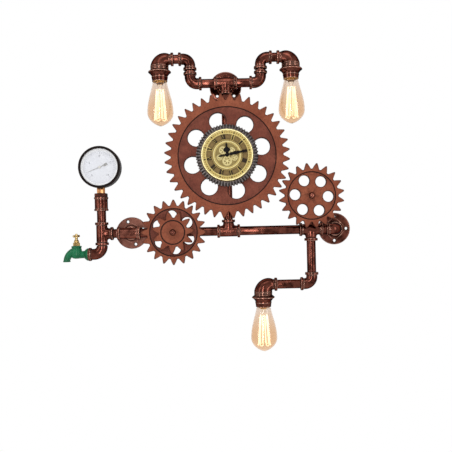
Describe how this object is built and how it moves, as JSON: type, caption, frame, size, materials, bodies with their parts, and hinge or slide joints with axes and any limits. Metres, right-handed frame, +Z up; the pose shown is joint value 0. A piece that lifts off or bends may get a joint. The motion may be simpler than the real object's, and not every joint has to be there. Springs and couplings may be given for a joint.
{
  "type": "gear wall lamp",
  "caption": "Wall lamp of bronze water pipe with meshing gears, a clock on the large gear, a pressure gauge, a green tap and hanging filament bulbs in flared holders.",
  "frame": {"origin": "centre of the top wall flange's back face, in the wall plane", "axes": "+X to the right seen from the front, +Y into the wall, +Z up"},
  "size_m": [0.7152, 0.1067, 0.7367],
  "materials": {
    "bronze": "antique bronze plating, satin",
    "rust": "matte rust-brown paint",
    "brass": "satin",
    "steel": "satin",
    "gold": "gold lacquer",
    "gunmetal": "worn gunmetal",
    "black": "semi-gloss black",
    "movement": "moulded",
    "ceramic": "glazed ceramic",
    "dial": "matte white",
    "green": "gloss enamel",
    "bulb_glass": "amber tint",
    "stem_glass": "clear",
    "clear_glass": "clear",
    "filament": "glowing wire"
  },
  "bodies": {
    "pipework": {"top_wall_flange": "bronze", "left_wall_flange": "bronze", "right_wall_flange": "bronze", "wall_nipples": "bronze", "top_tee": "bronze", "arm_pipes": "bronze", "pipe_elbows": "bronze", "close_nipples": "bronze", "lamp_elbows": "bronze", "column_pipe": "bronze", "middle_tee": "bronze", "left_run_pipe": "bronze", "right_run_pipe": "bronze", "left_wall_tee": "bronze", "right_tee": "bronze", "right_wall_elbow": "bronze", "drop_pipe": "bronze", "drop_arm_pipe": "bronze", "gauge_tee": "bronze", "gauge_pipe": "bronze", "gauge_coupling": "bronze", "gauge_bush": "bronze", "street_elbow": "bronze", "lampholder_shells": "bronze", "lampholder_cores": "ceramic", "screw_shells": "brass", "centre_contacts": "brass", "bulb_caps": "brass", "bulb_glasses": "bulb_glass", "bulb_stems": "stem_glass", "bulb_filaments": "filament", "gear_bolts": "bronze", "bolt_spacers": "bronze", "bolt_nuts": "steel", "gear_bracket": "bronze", "fixing_screws": "steel", "gauge_case": "black", "gauge_bezel": "black", "gauge_dial": "dial", "gauge_glass": "clear_glass", "gauge_stem": "brass", "gauge_works": "brass", "tap_body": "green", "tap_gland": "brass"},
    "big_gear": {"big_gear": "rust", "big_gear_bush": "brass", "clock_ring": "gunmetal", "clock_case": "gold", "clock_bezel": "gold", "clock_dial": "gold", "clock_movement": "movement"},
    "left_gear": {"left_gear": "rust", "left_gear_sleeve": "brass", "front_gear": "rust"},
    "right_gear": {"right_gear": "rust", "right_gear_bush": "brass"},
    "hour_hand": {"hour_hand": "black"},
    "minute_hand": {"minute_hand": "black"},
    "gauge_pointer": {"gauge_pointer": "steel"},
    "tap_handle": {"tap_handle": "brass"}
  },
  "joints": [
    {"name": "big_gear_spin", "type": "hinge", "parent": "pipework", "child": "big_gear", "pos_m": [0, -0.0732, -0.1815], "axis": [0, 1, 0], "continuous": true},
    {"name": "left_gear_spin", "type": "hinge", "parent": "pipework", "child": "left_gear", "pos_m": [-0.13298, -0.0732, -0.363], "axis": [0, 1, 0], "continuous": true},
    {"name": "right_gear_spin", "type": "hinge", "parent": "pipework", "child": "right_gear", "pos_m": [0.2015, -0.0732, -0.28161], "axis": [0, 1, 0], "continuous": true},
    {"name": "minute_hand_spin", "type": "hinge", "parent": "big_gear", "child": "minute_hand", "pos_m": [0, -0.095, -0.1815], "axis": [0, 1, 0], "continuous": true},
    {"name": "hour_hand_spin", "type": "hinge", "parent": "big_gear", "child": "hour_hand", "pos_m": [0, -0.095, -0.1815], "axis": [0, 1, 0], "continuous": true},
    {"name": "gauge_pointer_swing", "type": "hinge", "parent": "pipework", "child": "gauge_pointer", "pos_m": [-0.311, -0.055, -0.2005], "axis": [0, 1, 0], "range_deg": [-23, 247], "stiffness_Nm_per_rad": 0.002},
    {"name": "tap_handle_turn", "type": "hinge", "parent": "pipework", "child": "tap_handle", "pos_m": [-0.374, -0.05, -0.38], "axis": [0, 0, 1], "range_deg": [0, 90]}
  ],
  "couplings": [
    {"joint": "left_gear_spin", "follows": "big_gear_spin", "ratio": -2},
    {"joint": "right_gear_spin", "follows": "big_gear_spin", "ratio": -2},
    {"joint": "hour_hand_spin", "follows": "minute_hand_spin", "ratio": 0.083333}
  ]
}
